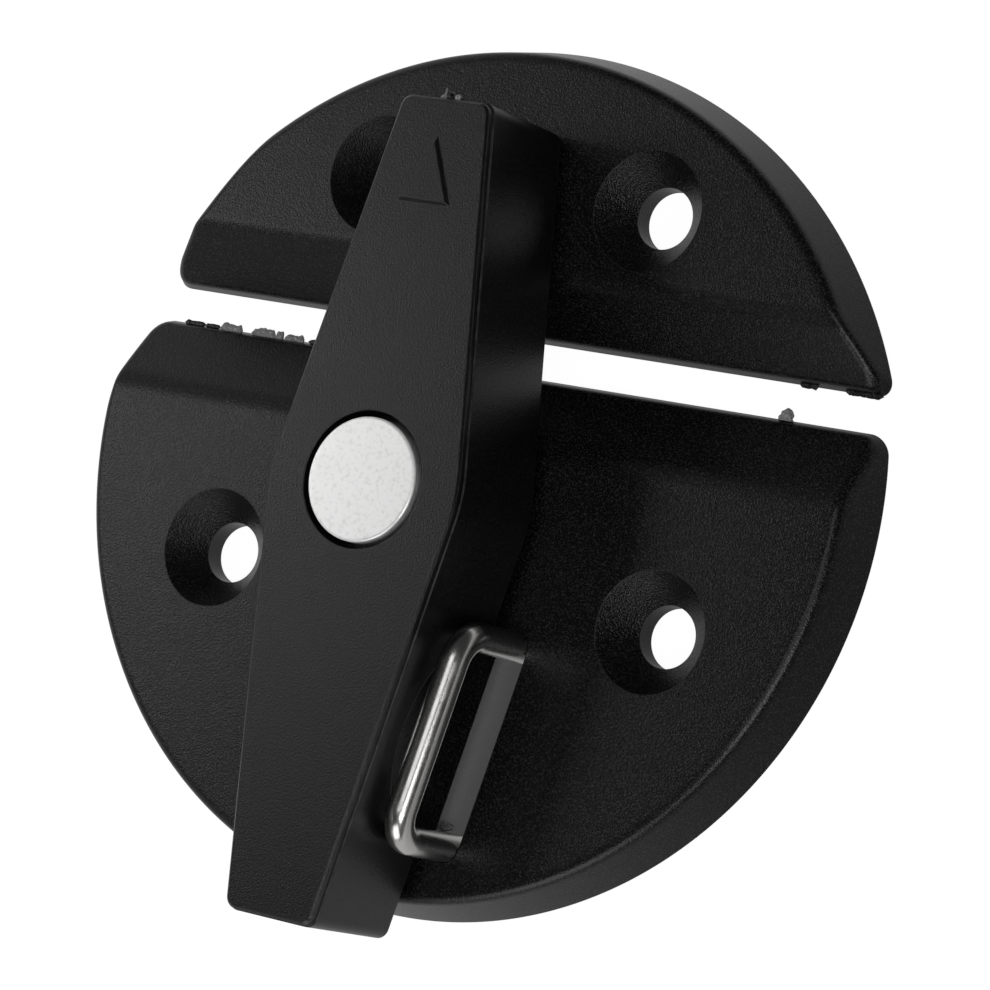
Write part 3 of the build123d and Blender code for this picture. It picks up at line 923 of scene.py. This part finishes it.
# %% Make torn stubs
RAGGED, UNEVEN = 0.55, 0.35  # how much noise changes a stub's width and its reach


def stub(centre, heading, width, height, reach, seed, rows=9, around=20):
    """A ragged stub in mm that grows from its centre towards a heading in plan, in degrees."""
    c, s = math.cos(math.radians(heading)), math.sin(math.radians(heading))
    rings = []
    for row in range(rows):
        t = row / (rows - 1)
        body = math.sqrt(max(0.02, 1 - t ** 2.2))
        ring = []
        for step in range(around):
            turn = 2 * math.pi * step / around
            place = Vector((math.cos(turn) * 1.7, math.sin(turn) * 1.7, t * 2.5 + seed * 7.3))
            rough = 1 + RAGGED * noise.noise(place)
            side, up = width / 2 * body * rough * math.cos(turn), height / 2 * body * rough * math.sin(turn)
            out = reach * t * (1 + UNEVEN * noise.noise(Vector((side * 2.2, up * 2.2, seed * 3.1))))
            ring.append((centre[0] + c * out - s * side, centre[1] + s * out + c * side, centre[2] + up))
        rings.append(ring)
    return solid_from_rings(rings)


def stub_piece(name, stubs, material, body):
    """Several stubs in one piece. Each is its centre, heading, width, height, reach and seed."""
    joined = bmesh.new()
    for values in stubs:
        joined.from_mesh(stub(*values))
    mesh = bpy.data.meshes.new(name)
    joined.to_mesh(mesh)
    joined.free()
    return new_piece(name, mesh, material, body, sharp=35)


end_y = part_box("turn_lever")[1][1] / MM
print("lever ends at", round(end_y, 2), "mm")
gate_dark = [
    ((0.1, end_y - 0.12, 15.95), 90, 0.9, 0.6, 0.62, 1),
    ((1.1, end_y - 0.1, 15.9), 90, 0.5, 0.3, 0.3, 2),
]
gate_grey = [
    ((-0.55, end_y - 0.1, 16.0), 100, 0.5, 0.3, 0.36, 3),
    ((0.75, end_y - 0.1, 16.05), 75, 0.6, 0.3, 0.4, 4),
    ((-0.3, end_y - 0.1, 16.1), 95, 0.22, 0.2, 0.95, 8),
]
stub_piece("gate_stub", gate_dark, lever_plastic, "lever")
stub_piece("gate_fringe", gate_grey, flash_plastic, "lever")
stub_piece("edge_stub", [((26.35, 18.05, 0.6), 90, 1.3, 0.9, 0.95, 5)], flash_plastic, "fixed_plates")
wall_x = STAPLE_X - 2.18  # the slot's left wall, near its lower end
burr = [
    ((wall_x, -17.75, 3.9), -8, 0.5, 0.35, 1.3, 6),
    ((wall_x + 0.03, -18.1, 4.2), 10, 0.45, 0.3, 0.9, 7),
]
stub_piece("slot_burr", burr, flash_plastic, "fixed_plates")

# %% [markdown]
# ## Floor and background
# The photograph's background is plain white. A white floor lit by lamps would need far too much light
# on the latch, so the floor glows for the camera and in reflections, and is an ordinary pale surface
# for everything else. A share of the ordinary surface stays in what the camera sees, and it keeps the
# latch's shadow. In reflections the glow is about half as strong, and it fades out under the latch's
# right side, because the rim mirrors the floor there and is dark in the photograph.

# %% Floor and world
FLOOR_REACH = 4.0
DARK_SPOT = (0.06, 0.0, 0.0)
floor_mesh = bpy.data.meshes.new("floor")
corners = [(x * FLOOR_REACH, y * FLOOR_REACH, 0) for x, y in ((-1, -1), (1, -1), (1, 1), (-1, 1))]
floor_mesh.from_pydata(corners, [], [(0, 1, 2, 3)])
floor = bpy.data.objects.new("floor", floor_mesh)
scene.collection.objects.link(floor)
floor_mesh.transform(Matrix.Translation((0, 0, cad_box[0].z - 0.1 * MM)))

white, floor_tree, floor_shader = new_material("white_floor")
floor_shader.inputs["Base Color"].default_value = (0.85, 0.85, 0.85, 1)
floor_shader.inputs["Roughness"].default_value = 0.9
glow = add_node(floor_tree, "ShaderNodeEmission")
path = add_node(floor_tree, "ShaderNodeLightPath")
floor_place = add_node(floor_tree, "ShaderNodeTexCoord")
from_shade = add_node(floor_tree, "ShaderNodeVectorMath", {1: DARK_SPOT}, operation="DISTANCE")
shade_range = {"From Min": 0.01, "From Max": 0.07, "To Min": 0.08, "To Max": 0.55}
shade = add_node(floor_tree, "ShaderNodeMapRange", shade_range)
strength = add_node(floor_tree, "ShaderNodeMix", {"B": 1.03}, data_type="FLOAT")
seen = add_node(floor_tree, "ShaderNodeMath", operation="MAXIMUM")
seen_share = add_node(floor_tree, "ShaderNodeMath", {1: 0.94}, operation="MULTIPLY")
mixer = add_node(floor_tree, "ShaderNodeMixShader")
output = floor_tree.nodes["Material Output"]
link_all(floor_tree, [
    (floor_place, "Object", from_shade, 0),
    (from_shade, "Value", shade, "Value"),
    (shade, "Result", strength, "A"),
    (path, "Is Camera Ray", strength, "Factor"),
    (strength, "Result", glow, "Strength"),
    (path, "Is Camera Ray", seen, 0),
    (path, "Is Glossy Ray", seen, 1),
    (seen, 0, seen_share, 0),
    (seen_share, 0, mixer, "Fac"),
    (floor_shader, 0, mixer, 1),
    (glow, 0, mixer, 2),
    (mixer, 0, output, "Surface"),
])
floor_mesh.materials.append(white)

# %% [markdown]
# ## Room
# Black plastic and steel show their surroundings, and the photograph's were dark, so the room is
# nearly black where the latch mirrors it. It still gives soft light of its own to rough surfaces, and
# the camera sees plain white behind everything.

# %% World
world = bpy.data.worlds.new("studio")
scene.world = world
world.use_nodes = True
world_tree = world.node_tree
room = world_tree.nodes["Background"]
room.inputs["Strength"].default_value = 0.04
soft_light = add_node(world_tree, "ShaderNodeBackground", {"Strength": 0.7})
backdrop = add_node(world_tree, "ShaderNodeBackground", {"Strength": 1.0})
world_path = add_node(world_tree, "ShaderNodeLightPath")
lit_mix = add_node(world_tree, "ShaderNodeMixShader")
world_mix = add_node(world_tree, "ShaderNodeMixShader")
for background in (room, soft_light, backdrop):
    background.inputs["Color"].default_value = (1, 1, 1, 1)
link_all(world_tree, [
    (world_path, "Is Diffuse Ray", lit_mix, "Fac"),
    (room, 0, lit_mix, 1),
    (soft_light, 0, lit_mix, 2),
    (world_path, "Is Camera Ray", world_mix, "Fac"),
    (lit_mix, 0, world_mix, 1),
    (backdrop, 0, world_mix, 2),
    (world_mix, 0, world_tree.nodes["World Output"], "Surface"),
])
print("world", len(world_tree.nodes), "nodes")

# %% [markdown]
# ## Light
# What shows on a black latch is mostly what it mirrors, so each lamp stands where one kind of face
# looks. The main soft box is mirrored by the flat tops. It stands a little low for them, which gives
# them their fall from left to right. Dim cards are mirrored by the bevels and the left rim, and two
# fills between the cards and the box keep the soft creases from going dark. The boxes above, in front
# and on the right give the wire its lines and the pale and grainy surfaces their plain light. A
# radiance of 1 is that of lit white paper.

# %% Lamps
def soft_box(name, place, width, height, radiance, aim=(0, 0.008, 0.005)):
    """An area lamp that faces the latch, with its place and size in metres and its radiance."""
    data = bpy.data.lights.new(name, "AREA")
    data.shape = "RECTANGLE"
    data.size = width
    data.size_y = height
    data.energy = radiance * math.pi * width * height
    lamp = bpy.data.objects.new(name, data)
    scene.collection.objects.link(lamp)
    lamp.location = place
    lamp.rotation_euler = (Vector(aim) - Vector(place)).to_track_quat("-Z", "Y").to_euler()
    print(name, round(data.energy, 3), "W")
    return lamp


soft_box("left_box", (-0.231, 0.0297, 0.233), 0.085, 0.11, 3.1)  # the flat tops
soft_box("back_card", (-0.38, 0.33, 0.13), 0.22, 0.18, 0.8)  # the base's bevel
soft_box("front_card", (-0.29, -0.37, 0.15), 0.40, 0.20, 0.35)  # the keeper's bevel
soft_box("left_card", (-0.45, 0.0, 0.10), 0.50, 0.20, 0.5)  # the left rim
soft_box("back_fill", (-0.31, 0.21, 0.33), 0.20, 0.22, 0.4)  # the base's soft crease
soft_box("front_fill", (-0.31, -0.21, 0.33), 0.20, 0.22, 0.5)  # the keeper's soft crease
soft_box("top_box", (0.10, 0.0, 0.55), 0.26, 0.26, 1.5)
soft_box("right_box", (0.29, -0.20, 0.34), 0.18, 0.18, 5.0)
soft_box("front_box", (0.02, -0.46, 0.22), 0.30, 0.30, 2.2)
scene.view_settings.view_transform = "Standard"
